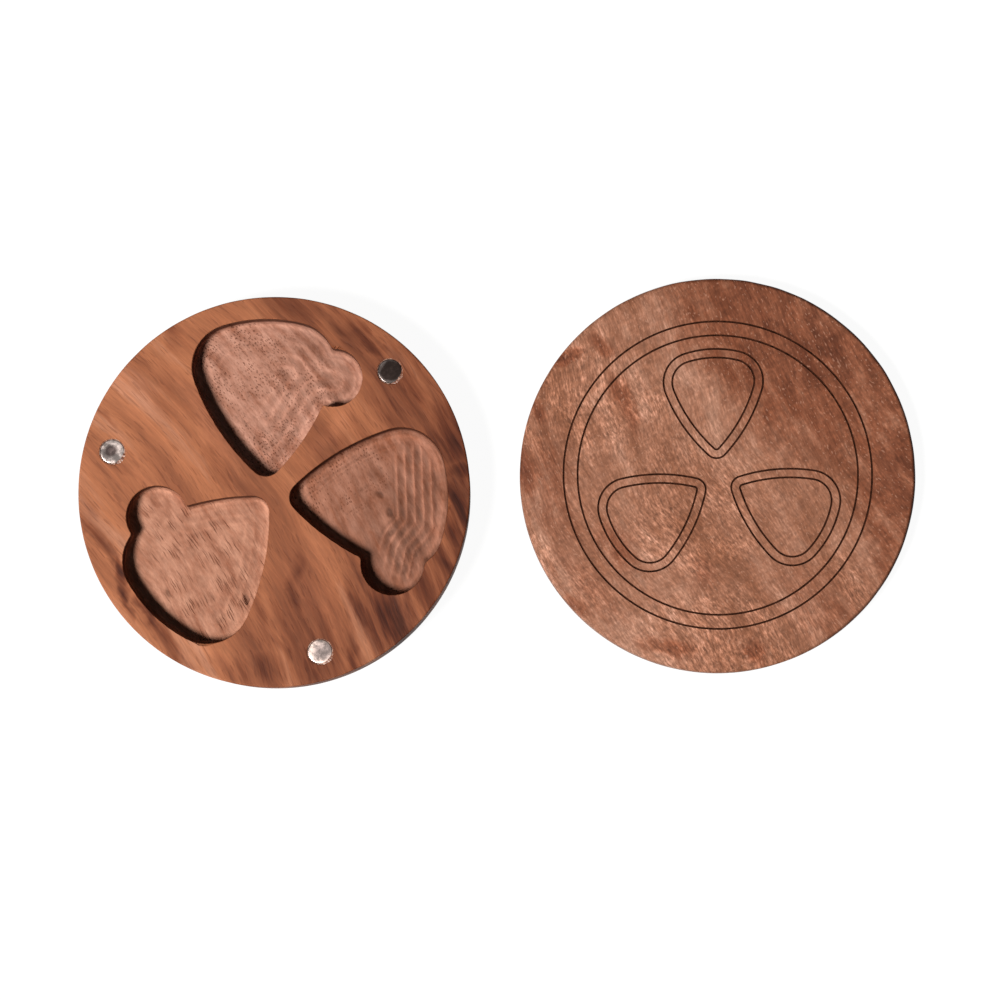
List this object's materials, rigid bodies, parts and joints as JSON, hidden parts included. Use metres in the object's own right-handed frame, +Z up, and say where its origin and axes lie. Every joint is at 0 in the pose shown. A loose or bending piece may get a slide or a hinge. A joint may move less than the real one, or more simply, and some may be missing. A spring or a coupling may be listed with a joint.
{
  "type": "pick holder",
  "caption": "Round two-part wooden box for guitar picks: a base with pick-shaped pockets and finger hollows, and an engraved lid that magnets hold shut.",
  "frame": {"origin": "centre of the base's flat underside", "axes": "+Z up, out of the pockets; +X towards the centre of the lid, which lies beside the base"},
  "size_m": [0.1719, 0.0816, 0.012],
  "materials": {
    "base_wood": "bare walnut, sanded, satin oil",
    "lid_wood": "figured walnut, sanded, satin oil",
    "nickel": "bright nickel plate on a sintered magnet",
    "glue": "clear hardened adhesive"
  },
  "bodies": {
    "base": {"base": "base_wood", "base_magnet_1": "nickel", "base_magnet_2": "nickel", "base_magnet_3": "nickel", "base_glue_1": "glue", "base_glue_2": "glue", "base_glue_3": "glue"},
    "lid_carry": {"glue_drop": "glue"},
    "lid": {"lid": "lid_wood", "lid_magnet_1": "nickel", "lid_magnet_2": "nickel", "lid_magnet_3": "nickel", "lid_glue_1": "glue", "lid_glue_2": "glue", "lid_glue_3": "glue"}
  },
  "joints": [
    {"name": "lid_swing", "type": "hinge", "parent": "base", "child": "lid_carry", "pos_m": [0.05368, -0.03312, 0.0096], "axis": [0, -1, 0], "range_deg": [0, 180]},
    {"name": "lid_level", "type": "hinge", "parent": "lid_carry", "child": "lid", "pos_m": [0.09923, -0.03312, 0.00355], "axis": [0, 1, 0], "range_deg": [0, 180]}
  ],
  "couplings": [
    {"joint": "lid_level", "follows": "lid_swing", "ratio": 1}
  ]
}
